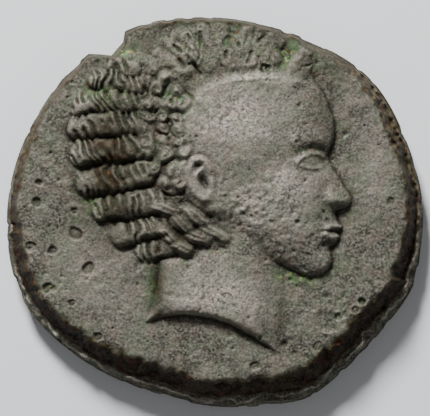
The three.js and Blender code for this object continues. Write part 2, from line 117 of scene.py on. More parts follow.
def toStretch(x, y, a, b):
    dx, dy = b[0] - a[0], b[1] - a[1]
    along = np.clip(((x - a[0]) * dx + (y - a[1]) * dy) / (dx * dx + dy * dy), 0, 1)
    return np.hypot(x - a[0] - along * dx, y - a[1] - along * dy)


def toLine(x, y, points):
    return np.minimum.reduce([toStretch(x, y, a, b) for a, b in zip(points[:-1], points[1:])])


# distance inside a closed outline, negative outside it
def insideBy(x, y, outline):
    nearest = np.full(x.shape, 1e9)
    inside = np.zeros(x.shape, bool)
    for (ax, ay), (bx, by) in zip(outline, np.roll(outline, -1, 0)):
        nearest = np.minimum(nearest, toStretch(x, y, (ax, ay), (bx, by)))
        rise = by - ay if by != ay else 1e-12
        inside ^= ((ay > y) != (by > y)) & (x < ax + (y - ay) * (bx - ax) / rise)
    return np.where(inside, nearest, -nearest)


# points seen from another middle and turned by some degrees
def seenFrom(x, y, cx, cy, turn):
    c, s = math.cos(math.radians(turn)), math.sin(math.radians(turn))
    return (x - cx) * c + (y - cy) * s, (y - cy) * c - (x - cx) * s


def mound(x, y, cx, cy, a, b, turn=0):
    u, v = seenFrom(x, y, cx, cy, turn)
    return np.exp(-(u / a) ** 2 - (v / b) ** 2)


def ridge(x, y, points, width):
    return np.exp(-((toLine(x, y, points) / width) ** 2))


# sum of named ridges (line, width, rise) and mounds (x, y, a, b, turn, rise)
def features(x, y, shape):
    total = np.zeros(x.shape)
    for line, width, rise in shape["ridges"].values():
        total += rise * ridge(x, y, line, width)
    for cx, cy, a, b, turn, rise in shape.get("mounds", {}).values():
        total += rise * mound(x, y, cx, cy, a, b, turn)
    return total


# soft seeded noise from -0.5 to 0.5 with lumps of the given size
def uneven(x, y, size, seed):
    lattice = np.random.default_rng(seed).random((256, 256))
    x, y = seenFrom(x, y, 0, 0, 37 * seed)
    u, v = x / size + 500.5, y / size + 500.5
    i, j = np.floor(u).astype(int), np.floor(v).astype(int)
    fu, fv = [t**3 * (t * (6 * t - 15) + 10) for t in (u - i, v - j)]
    i, j, nextI, nextJ = i % 256, j % 256, (i + 1) % 256, (j + 1) % 256
    low = lattice[j, i] * (1 - fu) + lattice[j, nextI] * fu
    high = lattice[nextJ, i] * (1 - fu) + lattice[nextJ, nextI] * fu
    return low * (1 - fv) + high * fv - 0.5


# share from 0 to 1 that comes and goes in patches
def patchy(x, y, mean, swing, size, seed):
    return ease(mean + swing * uneven(x, y, size, seed))


# factor round 1 that thickens and thins what it multiplies
def swelling(x, y, most, size, seed):
    return 1 + most * uneven(x, y, size, seed)


# the engraver's hand: reach and size in mm of its wide and close wanders, and their share
hand = {
    "wide": (0.2, 1.3),
    "close": (0.09, 0.42),
    "seed": 61,
    "onFace": 0.45,
    "onHair": 1.0,
}


# the same points, wandering a little, so that what is cut on them isn't ruler-straight
def handCut(x, y, share):
    (wide, wideSize), (close, closeSize), seed = hand["wide"], hand["close"], hand["seed"]
    across = wide * uneven(x, y, wideSize, seed) + close * uneven(x, y, closeSize, seed + 1)
    up = wide * uneven(x, y, wideSize, seed + 2) + close * uneven(x, y, closeSize, seed + 3)
    return x + share * across, y + share * up


# The flan: outline, edge and struck faces

flan = {
    "size": (19.0, 17.8),
    # degrees and radius, and how deep the chip goes in
    "stations": [(0, 9.52), (20, 9.34), (40, 9.36), (60, 8.99), (75, 8.86), (95, 8.96), (113, 9.24),
                 (133, 9.3), (150, 9.29), (165, 9.41), (183, 9.58), (205, 9.69), (225, 9.18),
                 (250, 8.74), (270, 8.9), (285, 9.16), (296, 9.48), (310, 9.32), (325, 9.35),
                 (340, 9.67), (350, 9.55)],
    "chip": [(116.6, 0), (118.6, 0.42), (123.6, 0.68), (128.8, 0)],
    # widths of the worn ledge and of the slope up to the field
    "ledge": [(0, 0.34), (40, 0.2), (65, 0.09), (90, 0.07), (120, 0.08), (150, 0.15), (180, 0.2),
              (225, 0.46), (270, 0.54), (315, 0.52)],
    "slope": [(0, 0.5), (40, 0.42), (65, 0.18), (90, 0.12), (120, 0.14), (150, 0.26), (180, 0.42),
              (225, 0.72), (270, 0.8), (315, 0.82)],
    "field": 2.35,
    "ledgeLevel": 1.35,
    "belly": 1.05,  # level where the wall is widest
    "foot": 0.5,  # how far the wall draws in below it
    "ledgeBlend": 0.06,
    "shoulder": (0.14, 0.2),  # rounding from the slope to the field, and more of it when low
    "rimFade": 0.15,  # width over which the face runs out into the wall
    "reverseDepth": 0.28,
    "reverseRim": (2.1, 1.4),  # insets where the rim starts, and where it is full
    "flatRest": 0.1,  # no roughness on what the coin rests on
    "netCells": 400,
    "wallRings": 12,
    "triangles": 192000,
}


# radius of the outline, before it is centred and brought to size
def rawRadius(degrees):
    chipAngles, chipDepths = zip(*flan["chip"])
    return around(flan["stations"], degrees) - np.interp(degrees, chipAngles, chipDepths)


# what centres the outline and brings it to the flan's size
def outlineFit():
    degrees = np.arange(0, 360, 3.0)
    edge = np.stack([rawRadius(degrees) * np.cos(np.radians(degrees)),
                     rawRadius(degrees) * np.sin(np.radians(degrees))])
    low, high = edge.min(1), edge.max(1)
    return (low + high) / 2, np.array(flan["size"]) / (high - low)


fitMiddle, fitScale = outlineFit()


# The head: skull, profile, face, neck and hair

head = {
    "skull": (0.45, 3.5, 4.85, 4.65),  # middle, half width, half height
    "skullArc": (207, 33, -14.5),  # degrees from the nape to the forehead, and the step
    # profile on even thirds: brow at 3.1, base of the nose at 0.05, chin at -2.9
    "profile": [(4.97, 5.35), (5.28, 4.5), (5.4, 3.75), (5.36, 3.15), (5.12, 2.6), (5.38, 2.0),
                (5.8, 1.3), (6.16, 0.72), (6.14, 0.36), (5.84, 0.16), (5.5, 0.04), (5.5, -0.26),
                (5.66, -0.5), (5.8, -0.7), (5.56, -0.88), (5.7, -1.1), (5.54, -1.4), (5.24, -1.66),
                (5.3, -2.02), (5.26, -2.4), (4.98, -2.74), (4.5, -2.88), (3.8, -2.76), (2.9, -2.42),
                (2.0, -1.95), (1.2, -1.4), (0.3, -0.9), (-0.8, -0.8), (-2.0, -1.2)],
    "edge": (0.44, 0.7),  # height and width of the rounded edge
    "swell": (0.48, 1.3, 1.4, 2.2, 5.6, 6.0),  # height, width of its rise, middle, reach across and up
    "wornTop": (0.99, 0.1),  # level that nothing stands over, and its rounding
    "blend": 0.06,
}

face = {
    "ridges": {
        "brow": ([(5.2, 3.12), (4.5, 3.32), (3.6, 3.22)], 0.3, 0.1),
        "upperLid": ([(3.66, 2.26), (3.95, 2.5), (4.3, 2.66), (4.66, 2.66), (4.92, 2.52)], 0.1, 0.17),
        "lowerLid": ([(3.72, 2.2), (4.05, 2.06), (4.45, 2.0), (4.8, 2.08)], 0.09, 0.12),
        "lidCrease": ([(3.5, 2.52), (3.9, 2.82), (4.4, 2.94), (4.9, 2.86)], 0.1, -0.06),
        "nostrilFold": ([(5.0, 1.15), (4.88, 0.6), (4.9, 0.1), (4.72, -0.5)], 0.26, -0.09),
        "upperLip": ([(5.02, -0.74), (5.35, -0.64), (5.68, -0.66)], 0.14, 0.12),
        "lowerLip": ([(5.02, -1.0), (5.35, -1.12), (5.58, -1.12)], 0.15, 0.13),
        "mouth": ([(4.85, -0.86), (5.2, -0.87), (5.62, -0.88)], 0.06, -0.13),
        "underLip": ([(4.75, -1.72), (5.2, -1.62)], 0.18, -0.07),
    },
    "mounds": {
        "socket": (4.5, 2.42, 0.62, 0.5, -8, -0.2),
        "innerCorner": (5.0, 2.5, 0.3, 0.3, 0, -0.06),
        "eyeball": (4.42, 2.34, 0.36, 0.24, 0, 0.2),
        "cheekbone": (3.3, 1.15, 1.0, 0.75, -20, 0.1),
        "cheekHollow": (3.6, -0.6, 0.9, 0.9, 0, -0.06),
        "noseTip": (5.32, 0.52, 0.34, 0.3, 0, 0.12),
        "nostril": (5.62, 0.25, 0.14, 0.08, -15, -0.12),
        "chin": (4.9, -2.2, 0.45, 0.45, 0, 0.06),
    },
    "inset": 0.25,  # the forms of the face come in over this distance from its profile
}

neck = {
    "outline": [(-2.2, 0), (-2.5, -1.6), (-2.62, -3), (-2.9, -4.3), (-3.15, -4.98), (-2.3, -4.74),
                (-1.1, -4.72), (0.1, -4.92), (1.2, -5.36), (2.1, -5.88), (2.92, -6.36), (2.98, -5.4),
                (3.05, -4.3), (3.3, -3.3), (3.7, -2.2), (2, 0)],
    # a column that stands up at the nape and runs out low at the throat
    "edge": 0.1,
    "rise": 0.48,
    "axisX": -0.3,
    "halfWidth": 3.4,
    "edgeWidth": (0.35, 0.95),  # at the cut, and at the nape
    "napeX": -1.6,  # where the nape's wider edge starts
    "throat": (3.4, 1.6, 0.25),  # its front, how far it rises over, share of the height at the front
    "ridges": {
        "muscle": ([(-1, -1.2), (0.3, -2.9), (1.9, -5.4)], 0.45, 0.07),
        "hollow": ([(0.2, -2), (1.4, -3.6), (2.5, -5.4)], 0.35, -0.05),
        "crease": ([(-2.4, -3.7), (-1.7, -3.9), (-1.1, -3.85)], 0.08, -0.04),
    },
}

ear = {
    "place": (-0.66, 1.42, 10),  # middle, and degrees that it leans
    "size": (0.66, 1.12),
    "lift": 0.72,
    "pad": 0.06,
    "cover": (1.3, 0.35),  # as shares of its size: where it ends, and its fade
    "ridges": {
        "outerFold": ([(0.5, 0.42), (0.3, 0.84), (-0.14, 0.92), (-0.46, 0.55), (-0.52, 0.0),
                       (-0.36, -0.5), (-0.06, -0.85)], 0.17, 0.17),
        "innerFold": ([(0.12, 0.5), (-0.12, 0.25), (-0.16, -0.2), (0.02, -0.5)], 0.12, 0.11),
    },
    "mounds": {
        "bowl": (0.16, -0.08, 0.2, 0.34, 0, -0.32),
        "groove": (-0.02, 0.62, 0.2, 0.14, 0, -0.18),
        "lobe": (0.14, -0.86, 0.28, 0.24, 0, 0.12),
        "flap": (0.46, -0.14, 0.15, 0.22, 0, 0.12),
    },
}

hair = {
    "outline": [(5.6, 5.1), (4.9, 5.55), (3.6, 6), (2.2, 6.12), (0.6, 5.9), (-0.7, 5.25), (-1.4, 4.2),
                (-1.5, 2.6), (-1.4, 1.4), (-0.7, 0.25), (0.3, -0.4), (-0.8, -2.1), (-2.6, -2.3),
                (-5, -1), (-6, 4), (-3, 8.6), (2, 9), (6.4, 7.5)],
    "drop": (0.13, 0.22),  # step down from the skin to the hair, and its width
    # worn ridge along the hairline: rise, width, how many widths before the hair, and place
    "crest": (0.1, 0.075, 0.6, (1.1, 5.9, 2.7, 1.3)),
    "crestPatches": (0.6, 2.4, 0.35, 66),
    "seed": 4,
    # twisted locks down the back of the head: root, tip, radius
    "backLocks": [((-3.7, 6.42), (-4.75, 6.7), 0.34), ((-3.6, 5.6), (-5.4, 6.0), 0.44),
                  ((-3.7, 4.86), (-6.1, 4.78), 0.46), ((-3.6, 3.9), (-6.25, 3.78), 0.46),
                  ((-2.9, 2.86), (-6.05, 2.52), 0.48), ((-3.1, 1.55), (-5.85, 1.08), 0.5),
                  ((-2.6, 0.45), (-5.05, -0.12), 0.48), ((-2.2, -0.62), (-4.2, -1.2), 0.46),
                  ((-1.85, -1.65), (-3.3, -1.95), 0.36)],
    "backHeights": (0.3, 0.06, 0.7),  # root, tip, roundness
    "backFlanks": (1.5, 0.85),  # widths of the upper and lower flank, as shares of the radius
    # swelling across a lock and along its top: share, size and first seed
    "backSwelling": (0.35, 0.8, 80),
    "backBulges": (0.4, 0.5, 110),
    # grooves between the strands that are twisted round a lock
    "strands": {
        "pitch": 0.37,
        "depth": 0.2,
        "narrowness": 1.5,
        "lean": (20, 6, 5),  # degrees on the upper locks and on the lower ones, and how many are upper
        "wander": (1.6, 0.75, 90),  # turns, size and first seed
        "patches": (0.75, 2.2, 0.5),
        "past": 0.4,  # how far down the flanks they reach
    },
    "underGroove": (0.22, 0.12, 1.05),  # depth, width, and how many radii under the lock's middle
    "napeLocks": [((-2.75, 0.5), (-0.3, -1.45), 0.42), ((-1.35, 0.2), (0.4, -1.25), 0.34),
                  ((-2.5, -0.8), (-1.2, -1.9), 0.38)],
    "napeHeights": (0.54, 0.48, 0.95),
    "napeHollow": (0.2, 1.5),  # the metal round the beads is sunk this deep, over this share of the radius
    "beads": {
        "pitch": 0.94,
        "turns": (2, 28),  # degrees from the lock's own line
        "halfLength": 0.68,  # share of the lock's length for each bead
        "halfWidths": (0.75, 0.95),  # shares of the lock's radius
        "strandPitch": 0.24,
        "wave": (0.25, 3.0),  # turns, and radians for each mm
        "depth": 0.36,
        "blend": 0.04,
    },
    # low worn locks on the crown: angles and shares of the skull, each with how far it strays
    "crown": {
        "count": 13,
        "first": 150,
        "step": -9.6,
        "strayAngle": (-2.5, 2.5),
        "inner": 0.66,
        "strayInner": (-0.03, 0.05),
        "turn": 6,
        "strayTurn": (-3, 3),
        "outer": 1.03,
        "strayOuter": (-0.05, 0.04),
        "radius": 0.46,
        "sizes": (0.7, 1.15),
        "swelling": (0.5, 0.6, 130),
        "heights": (0.42, 0.06, 0.5),
        "blend": 0.1,
    },
    # worn curls and short cuts among them
    "ringlets": {"count": 8, "angles": (48, 145), "shares": (0.72, 0.97), "radii": (0.28, 0.45),
                 "strength": 0.7, "reach": (1.3, 0.4)},
    "cuts": {"count": 18, "angles": (40, 155), "shares": (0.68, 1.02), "leans": (-35, 35),
             "halfLengths": (0.08, 0.26), "widths": (0.05, 0.09), "depths": (0.07, 0.18)},
    # snail curls: heights as shares of the radius, gap in mm
    "curl": {"turns": 1.0, "dome": 0.5, "groove": 0.16, "gap": 0.11, "swelling": (0.8, 0.45, 77),
             "sizes": (0.8, 1.15), "strayStep": (-0.3, 0.3), "strayShare": (-0.03, 0.03),
             "reach": (1.6, 0.4)},
    # share of the skull, radius, first angle, step, count
    "curlRows": [(0.47, 0.36, 222, -15.5, 6), (0.61, 0.38, 228, -12.8, 8), (0.75, 0.4, 220, -10.4, 9)],
}


def onSkull(degrees, share):
    x, y, a, b = head["skull"]
    return (x + a * share * math.cos(math.radians(degrees)),
            y + b * share * math.sin(math.radians(degrees)))


headCurve = closedCurve(head["profile"] + [onSkull(d, 1) for d in np.arange(*head["skullArc"])])
neckCurve = closedCurve(neck["outline"])
hairCurve = closedCurve(hair["outline"])


def neckRelief(x, y):
    width, napeWidth = neck["edgeWidth"]
    depth = insideBy(x, y, neckCurve) / (width + (napeWidth - width) * ease(neck["napeX"] - x))
    across = (x - neck["axisX"]) / neck["halfWidth"]
    column = neck["edge"] + neck["rise"] * np.sqrt(np.clip(1 - across**2, 0, 1))
    front, width, least = neck["throat"]
    column = column * (least + (1 - least) * ease((front - x) / width))
    relief = column * quarterRound(depth) + features(x, y, neck) * np.clip(depth, 0, 1)
    return np.where(depth > 0, relief, 0)


def headRelief(x, y, hairBy):
    inside = insideBy(x, y, headCurve)
    edge, edgeWidth = head["edge"]
    swell, swellWidth, cx, cy, a, b = head["swell"]
    bulge = np.clip(1 - ((x - cx) / a) ** 2 - ((y - cy) / b) ** 2, 0, 1)
    form = edge * quarterRound(inside / edgeWidth) + swell * bulge * ease(inside / swellWidth)
    drop, dropWidth = hair["drop"]
    rise, width, before, place = hair["crest"]
    crest = rise * np.exp(-((hairBy / width + before) ** 2)) * mound(x, y, *place)
    crest = crest * patchy(x, y, *hair["crestPatches"])
    detail = features(x, y, face) + crest - drop * ease(hairBy / dropWidth)
    return np.where(inside > 0, form + detail * np.clip(inside / face["inset"], 0, 1), 0)


def earRelief(x, y, base):
    u, v = seenFrom(x, y, *ear["place"])
    share = np.hypot(u / ear["size"][0], v / ear["size"][1])
    start, width = ear["cover"]
    cover = ease((start - share) / width)
    pad = ear["pad"] * (1 - np.minimum(share, 1) ** 4)
    return base * (1 - cover) + cover * (ear["lift"] + pad + features(u, v, ear))


# half-round from 1 in the middle to 0 at the edge, and falling away beyond it
def roundOff(share):
    return np.sqrt(np.clip(1 - share**2, 0, 1)) - np.clip(share - 1, 0, 4)


# lock from its root to its tip: roundness, and the distances along and across it
def lockBody(x, y, root, tip, radius, flanks=(1, 1)):
    dx, dy = tip[0] - root[0], tip[1] - root[1]
    length = math.hypot(dx, dy)
    along = ((x - root[0]) * dx + (y - root[1]) * dy) / length
    across = ((y - root[1]) * dx - (x - root[0]) * dy) / length
    side = across / (radius * np.where(across < 0, *flanks))
    share = np.hypot((along - np.clip(along, 0, length)) / radius, side)
    return roundOff(share), along / length, along, across


# grooves between the strands of the lock of that number, worn away here and there
def strandGrooves(x, y, along, across, number):
    g = hair["strands"]
    upperLean, lowerLean, upperCount = g["lean"]
    lean = upperLean if number < upperCount else lowerLean
    wander, size, seed = g["wander"]
    turns = (along + across * math.tan(math.radians(lean))) / g["pitch"]
    turns = turns + wander * uneven(x, y, size, seed + 2 * number)
    unworn = patchy(x, y, *g["patches"], seed + 2 * number + 1)
    return (0.5 + 0.5 * np.cos(2 * math.pi * turns)) ** g["narrowness"] * unworn


def backRelief(x, y, relief):
    rootLift, tipLift, roundness = hair["backHeights"]
    most, size, seed = hair["backSwelling"]
    mostBulge, bulgeSize, bulgeSeed = hair["backBulges"]
    strands = hair["strands"]
    depth, width, drop = hair["underGroove"]
    for i, (root, tip, radius) in enumerate(hair["backLocks"]):
        swollen = radius * swelling(x, y, most, size, seed + i)
        body, share, along, across = lockBody(x, y, root, tip, swollen, hair["backFlanks"])
        lift = rootLift + (tipLift - rootLift) * np.clip(share, 0, 1)
        height = lift + roundness * radius * body * swelling(x, y, mostBulge, bulgeSize, bulgeSeed + i)
        grooves = strandGrooves(x, y, along, across, i)
        height = height - strands["depth"] * grooves * ease(body + strands["past"])
        under = [(px, py - drop * radius) for px, py in (root, tip)]
        relief = relief - depth * ridge(x, y, under, width)
        relief = blendHighest(relief, height, head["blend"])
    return relief


# a lock at the nape as a row of ridged beads, each turned a little
def beadedLock(x, y, relief, root, tip, radius, draws):
    b = hair["beads"]
    rootLift, tipLift, roundness = hair["napeHeights"]
    turns, waves = b["wave"]
    dx, dy = tip[0] - root[0], tip[1] - root[1]
    count = max(2, int(math.hypot(dx, dy) / b["pitch"] + 0.5))
    for i in range(count):
        share = (i + 0.5) / count
        heading = math.degrees(math.atan2(dy, dx)) + draws.uniform(*b["turns"])
        u, v = seenFrom(x, y, root[0] + dx * share, root[1] + dy * share, heading)
        halfLength = b["halfLength"] * math.hypot(dx, dy) / count
        halfWidth = radius * draws.uniform(*b["halfWidths"])
        body = roundOff(np.hypot(u / halfLength, v / halfWidth))
        strands = 0.5 + 0.5 * np.cos(2 * math.pi * (v / b["strandPitch"] + turns * np.sin(waves * u)))
        lift = rootLift + (tipLift - rootLift) * share
        height = lift + roundness * halfWidth * body * (1 - b["depth"] * strands)
        relief = blendHighest(relief, height, b["blend"])
    return relief


def napeRelief(x, y, relief, draws):
    depth, spread = hair["napeHollow"]
    for root, tip, radius in hair["napeLocks"]:
        relief = relief - depth * ridge(x, y, [root, tip], spread * radius)
    for root, tip, radius in hair["napeLocks"]:
        relief = beadedLock(x, y, relief, root, tip, radius, draws)
    return relief


# snail curl: a dome with a spiral groove, and how many radii each point is from its middle
def curlBody(x, y, cx, cy, radius, opening):
    c = hair["curl"]
    away = np.hypot(x - cx, y - cy) / (radius * swelling(x, y, *c["swelling"]))
    turn = (np.arctan2(y - cy, x - cx) - opening) / (2 * math.pi)
    spiral = np.cos(2 * math.pi * (c["turns"] * away - turn))
    return radius * (c["dome"] * (1 - away**2) + c["groove"] * spiral), away


# rows of curls on the hair, with sunk gaps between them
def curlRelief(x, y, relief, draws):
    c = hair["curl"]
    outer, fade = c["reach"]
    lumps, cover = np.full(x.shape, -9.0), np.zeros(x.shape)
    for share, radius, first, step, count in hair["curlRows"]:
        for i in range(count):
            degrees = first + step * (i + draws.uniform(*c["strayStep"]))
            cx, cy = onSkull(degrees, share + draws.uniform(*c["strayShare"]))
            size, opening = radius * draws.uniform(*c["sizes"]), draws.uniform(0, 2 * math.pi)
            body, away = curlBody(x, y, cx, cy, size, opening)
            lumps = np.maximum(lumps, body)
            cover = np.maximum(cover, ease((outer - away) / fade))
    return relief + np.maximum(lumps, -c["gap"]) * cover


def crownLocks(x, y, relief, draws):
    c = hair["crown"]
    rootLift, tipLift, roundness = c["heights"]
    most, swellSize, seed = c["swelling"]
    for i in range(c["count"]):
        degrees = c["first"] + c["step"] * i + draws.uniform(*c["strayAngle"])
        root = onSkull(degrees, c["inner"] + draws.uniform(*c["strayInner"]))
        tip = onSkull(degrees + c["turn"] + draws.uniform(*c["strayTurn"]),
                      c["outer"] + draws.uniform(*c["strayOuter"]))
        radius = c["radius"] * draws.uniform(*c["sizes"])
        swollen = radius * swelling(x, y, most, swellSize, seed + i)
        body, share = lockBody(x, y, root, tip, swollen)[:2]
        lift = rootLift + (tipLift - rootLift) * np.clip(share, 0, 1)
        relief = blendHighest(relief, lift + roundness * radius * body, c["blend"])
    return relief


def ringlets(x, y, relief, draws):
    r = hair["ringlets"]
    outer, fade = r["reach"]
    for _ in range(r["count"]):
        cx, cy = onSkull(draws.uniform(*r["angles"]), draws.uniform(*r["shares"]))
        size, opening = draws.uniform(*r["radii"]), draws.uniform(0, 2 * math.pi)
        body, away = curlBody(x, y, cx, cy, size, opening)
        relief = relief + r["strength"] * body * ease((outer - away) / fade)
    return relief


# short cuts that are left of the strands on the crown
def strandCuts(x, y, relief, draws):
    c = hair["cuts"]
    for _ in range(c["count"]):
        degrees = draws.uniform(*c["angles"])
        cx, cy = onSkull(degrees, draws.uniform(*c["shares"]))
        heading = math.radians(degrees + draws.uniform(*c["leans"]))
        half = draws.uniform(*c["halfLengths"])
        dx, dy = half * math.cos(heading), half * math.sin(heading)
        cut = ridge(x, y, [(cx - dx, cy - dy), (cx + dx, cy + dy)], draws.uniform(*c["widths"]))
        relief = relief - draws.uniform(*c["depths"]) * cut
    return relief


# the whole obverse: height over the field, and distance inside the hair
def obverseRelief(x, y):
    draws = np.random.default_rng(hair["seed"])
    softX, softY = handCut(x, y, hand["onFace"])
    hairBy = insideBy(softX, softY, hairCurve)
    relief = blendHighest(neckRelief(softX, softY), headRelief(softX, softY, hairBy), head["blend"])
    x, y = handCut(x, y, hand["onHair"])
    relief = crownLocks(x, y, relief, draws)
    relief = ringlets(x, y, relief, draws)
    relief = strandCuts(x, y, relief, draws)
    relief = curlRelief(x, y, relief, draws)
    relief = earRelief(x, y, relief)
    relief = napeRelief(x, y, relief, draws)
    relief = backRelief(x, y, relief)
    return blendLowest(relief, *head["wornTop"]), hairBy


# The reverse: an elephant walking to the right, as seen from that side

elephant = {
    # middle, reach across and up, and rise
    "body": (-0.7, 0.7, 3.5, 2.5, 0.4),
    "head": (2.9, 1.9, 1.75, 1.7, 0.38),
    "ear": (1.75, 1.5, 1.05, 1.575),
    "earGroove": (0.12, 0.095),  # depth, and width as a share of the ear
    # line, radius, rise
    "legs": [([(-3.0, -0.2), (-3.1, -3.6)], 0.8, 0.26), ([(-1.5, -0.6), (-1.35, -3.6)], 0.8, 0.26),
             ([(0.7, -0.6), (0.6, -3.6)], 0.8, 0.26), ([(2.0, 0.2), (2.25, -3.6)], 0.8, 0.26)],
    "trunk": ([(3.9, 1.5), (4.75, 0.2), (4.85, -1.3), (4.5, -2.5), (5.1, -3.1)], 0.55, 0.26),
    "tail": ([(-3.9, 1.6), (-4.6, 0.4), (-4.6, -1.2)], 0.22, 0.16),
    "tusk": ([(3.7, 0.6), (5.9, 0.2)], 0.24, 0.24),
    "ground": ([(-4.7, -4.6), (4.7, -4.6)], 0.2, 0.16),
}


def dome(u, v, cx, cy, a, b, rise):
    return rise * np.sqrt(np.clip(1 - ((u - cx) / a) ** 2 - ((v - cy) / b) ** 2, 0, 1))


def bar(u, v, points, radius, rise):
    return rise * quarterRound(1 - toLine(u, v, points) / radius)


def reverseRelief(x, y, inset):
    u, v, e = -x, y, elephant
    relief = dome(u, v, *e["body"])
    for leg in e["legs"]:
        relief = blendHighest(relief, bar(u, v, *leg), head["blend"])
    relief = blendHighest(relief, dome(u, v, *e["head"]), head["blend"])
    relief = blendHighest(relief, bar(u, v, *e["trunk"]), head["blend"])
    for part in ("tail", "tusk", "ground"):
        relief = np.maximum(relief, bar(u, v, *e[part]))
    cx, cy, a, b = e["ear"]
    depth, width = e["earGroove"]
    relief = relief - depth * np.exp(-(((np.hypot((u - cx) / a, (v - cy) / b) - 1) / width) ** 2))
    start, full = flan["reverseRim"]
    rim = flan["reverseDepth"] * ease((start - inset) / (start - full))
    return np.clip(np.maximum(relief, rim), 0, flan["reverseDepth"])


# Wear, pits and corrosion in the surface itself

wear = {
    # middle, radius, depth
    "pits": [(-8.12, 0.46, 0.18, 0.12), (-7.98, 1.33, 0.14, 0.1), (-6.39, 0.06, 0.14, 0.1),
             (-6.3, -0.94, 0.27, 0.12), (-8.39, -1.53, 0.24, 0.1), (-7.39, -1.71, 0.19, 0.11),
             (-5.71, -2.53, 0.28, 0.12), (-7.62, -3.43, 0.2, 0.11), (-7.3, -3.5, 0.13, 0.09),
             (-6.48, -4.12, 0.15, 0.09), (-5.35, -5.66, 0.18, 0.1), (6.35, -4.43, 0.15, 0.1),
             (6.67, -4.07, 0.15, 0.1), (5.58, -4.75, 0.15, 0.09), (5.08, -5.11, 0.42, 0.06),
             (4.67, -6.07, 0.2, 0.08), (3.17, -5.97, 0.15, 0.08), (1.81, -6.93, 0.2, 0.08),
             (7.98, 0.51, 0.15, 0.08), (2.27, 6.5, 0.22, 0.13), (0.68, 7.72, 0.24, 0.1)],
    "pitWobble": (0.7, 1.4, 5),  # share, size as a share of the radius, seed
    "pitWall": (1.3, 0.55),  # radii out to where a pit starts, and from there to its full depth
    "smallPits": {"count": 380, "seed": 11, "within": 9.2, "radii": (0.04, 0.1), "depths": (0.02, 0.07),
                  "near": 0.3},
    # least and further rubbing down, the height that brings it on, and its reach
    "rub": (0.25, 0.3, 0.7, 0.1),
    # rough crust: middle, reach across and up, strength
    "crust": [(1.8, -0.1, 2.0, 1.2, 0.8), (3.4, -1.6, 1.6, 1.0, 0.7), (-2.4, 3.8, 1.2, 2.0, 0.4),
              (1.0, 7.0, 4.5, 1.2, 0.25), (5.5, -4.6, 1.6, 1.0, 0.5), (2.4, 1.2, 1.0, 1.0, 0.4)],
    # the same for verdigris in sheltered places, for places rubbed bright, and for dark patina with some
    # painted shade
    "verdigris": [(-4.2, 7.2, 0.7, 0.6, 1.0), (-4.9, 5.2, 1.3, 0.6, 0.9), (-1.7, 5.1, 0.9, 0.7, 0.8),
                  (3.6, -2.9, 1.7, 0.35, 0.9), (3.4, 7.1, 1.4, 0.7, 0.8), (0.2, 7.6, 1.6, 0.6, 0.5),
                  (3.9, 2.95, 0.9, 0.2, 0.7), (-5.4, 0.3, 0.7, 0.5, 0.7), (6.0, -3.9, 1.2, 0.7, 0.7),
                  (-7.2, -3.4, 0.6, 0.4, 0.6), (-2.9, -3.6, 0.4, 1.0, 0.4)],
    "rubbed": [(0.9, 4.3, 2.2, 1.5, 0.8), (-0.7, 2.0, 1.0, 1.2, 0.5), (3.2, 0.8, 1.7, 1.5, 0.7),
               (0.2, -3.7, 2.2, 1.2, 0.9), (-5.4, -2.4, 1.8, 1.6, 0.45), (7.2, 2.2, 0.9, 2.4, 0.35),
               (-4.4, -4.4, 1.6, 1.2, 0.25), (2.0, 6.1, 1.6, 0.3, 0.8),
               (1.5, 0.4, 1.2, 1.2, 0.6)],
    # dark patina on the back locks and the neck's back edge, darker among the nape locks and along the
    # throat, and painted shade on the right of the forehead
    "darkPatinaAndShade": [(-4.8, 2.2, 1.5, 3.7, 0.95), (-2.65, -3.3, 0.4, 1.6, 1.0), (-1.6, -0.9, 1.2, 0.9, 0.5),
             (4.9, 4.7, 0.8, 0.8, 0.35), (3.05, -4.6, 0.22, 1.3, 0.5)],
}


def placesIn(x, y, places):
    strongest = np.zeros(x.shape)
    for cx, cy, a, b, strength in places:
        strongest = np.maximum(strongest, strength * mound(x, y, cx, cy, a, b))
    return strongest


def pitRelief(x, y):
    start, wall = wear["pitWall"]
    most, size, seed = wear["pitWobble"]
    depth = np.zeros(x.shape)
    for cx, cy, radius, deep in wear["pits"]:
        wobble = swelling(x, y, most, radius * size, seed)
        depth += deep * ease((start - np.hypot(x - cx, y - cy) / (radius * wobble)) / wall)
    p = wear["smallPits"]
    least, more = p["radii"]
    draws = np.random.default_rng(p["seed"])
    for _ in range(p["count"]):
        angle, reach = draws.uniform(0, 2 * math.pi), p["within"] * math.sqrt(draws.uniform())
        radius, deep = least + more * draws.uniform() ** 2, draws.uniform(*p["depths"])
        cx, cy = reach * math.cos(angle), reach * math.sin(angle)
        near = (np.abs(x - cx) < p["near"]) & (np.abs(y - cy) < p["near"])
        depth[near] += deep * ease(start - np.hypot(x[near] - cx, y[near] - cy) / radius)
    return depth


# the surface's own unevenness: strength and size in mm of each kind, and first seeds
surface = {
    "soft": ((0.07, 1.6), (0.04, 0.6)),
    "fine": ((0.03, 0.27), (0.03, 0.14)),
    "finerOnCrust": 1.2,
    "pocks": (0.09, -0.3, 3.0, 0.22),  # depth, then mean, swing and size of the patches
    "seeds": {"obverse": 20, "edge": 30, "reverse": 40, "wall": 50},
}


def roughness(x, y, place, crust=0.0):
    seed = surface["seeds"][place]
    (wave, waveSize), (lump, lumpSize) = surface["soft"]
    (grain, grainSize), (grit, gritSize) = surface["fine"]
    soft = wave * uneven(x, y, waveSize, seed) + lump * uneven(x, y, lumpSize, seed + 1)
    fine = grain * uneven(x, y, grainSize, seed + 2) + grit * uneven(x, y, gritSize, seed + 3)
    depth, mean, swing, size = surface["pocks"]
    pocks = depth * patchy(x, y, mean, swing, size, seed + 4)
    return soft + fine * (1 + surface["finerOnCrust"] * crust) - pocks * crust


# The edge as wear has left it. Patches are mean, swing, size and seed.

